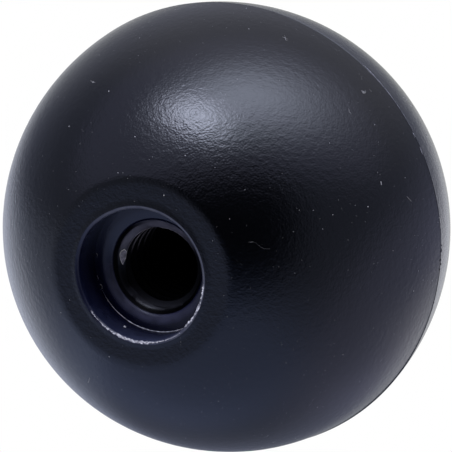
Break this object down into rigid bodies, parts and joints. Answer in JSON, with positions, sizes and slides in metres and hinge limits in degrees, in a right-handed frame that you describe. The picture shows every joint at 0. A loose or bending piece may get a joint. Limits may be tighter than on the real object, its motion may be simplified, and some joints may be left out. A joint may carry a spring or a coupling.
{
  "type": "lever knob",
  "caption": "Ball knob moulded in one piece, with a small flat round its mouth, a counterbore and a blind threaded bore that screws onto the end of a lever.",
  "frame": {"origin": "centre of the flat round the mouth, on which the knob stands", "axes": "+Z along the bore's axis, from the mouth up through the middle of the ball to its crown"},
  "size_m": [0.0408, 0.0408, 0.0383],
  "materials": {
    "black_moulding": "black moulded plastic with a fine orange peel, between satin and gloss"
  },
  "bodies": {
    "root": {"ball_knob": "black_moulding"}
  },
  "joints": []
}
